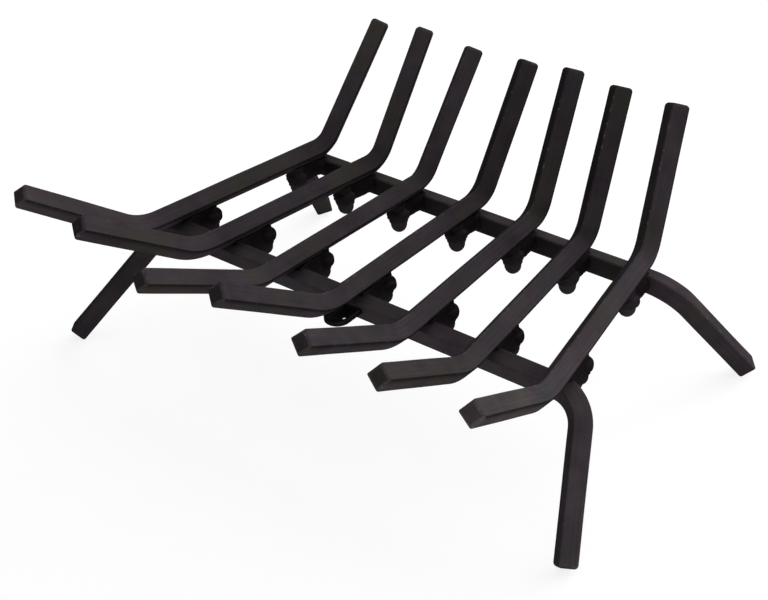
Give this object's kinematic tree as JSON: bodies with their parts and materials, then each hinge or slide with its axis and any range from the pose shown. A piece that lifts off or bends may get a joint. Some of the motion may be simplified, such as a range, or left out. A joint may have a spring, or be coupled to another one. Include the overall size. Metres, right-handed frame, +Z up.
{
  "type": "fireplace log grate",
  "caption": "Fireplace log grate of bent square bars that fan out over two legged rails, with raised front and back tines to cradle logs.",
  "frame": {"origin": "on the floor, under the middle of the grate's bounding box", "axes": "+Z up, -Y towards the wide front of the fan, +X to the right seen from the front, along the rails"},
  "size_m": [0.684, 0.4898, 0.2892],
  "materials": {
    "bar_paint": "satin black heat-resistant paint on hot-rolled square bar, with faint lengthwise mill marks",
    "rail_paint": "satin black heat-resistant paint on hot-rolled square bar",
    "lug_paint": "satin black heat-resistant paint, in the shade under the bars",
    "nut_paint": "satin black heat-resistant paint over domed nuts"
  },
  "bodies": {
    "root": {"bar_1": "bar_paint", "bar_2": "bar_paint", "bar_3": "bar_paint", "bar_4": "bar_paint", "bar_5": "bar_paint", "bar_6": "bar_paint", "bar_7": "bar_paint", "front_rail": "rail_paint", "back_rail": "rail_paint", "front_lug_1": "lug_paint", "front_lug_2": "lug_paint", "front_lug_3": "lug_paint", "front_lug_4": "lug_paint", "front_lug_5": "lug_paint", "front_lug_6": "lug_paint", "front_lug_7": "lug_paint", "back_lug_1": "lug_paint", "back_lug_2": "lug_paint", "back_lug_3": "lug_paint", "back_lug_4": "lug_paint", "back_lug_5": "lug_paint", "back_lug_6": "lug_paint", "back_lug_7": "lug_paint", "front_studs": "lug_paint", "back_studs": "lug_paint", "front_cap_nuts": "nut_paint", "back_cap_nuts": "nut_paint", "centre_tab": "lug_paint"}
  },
  "joints": []
}
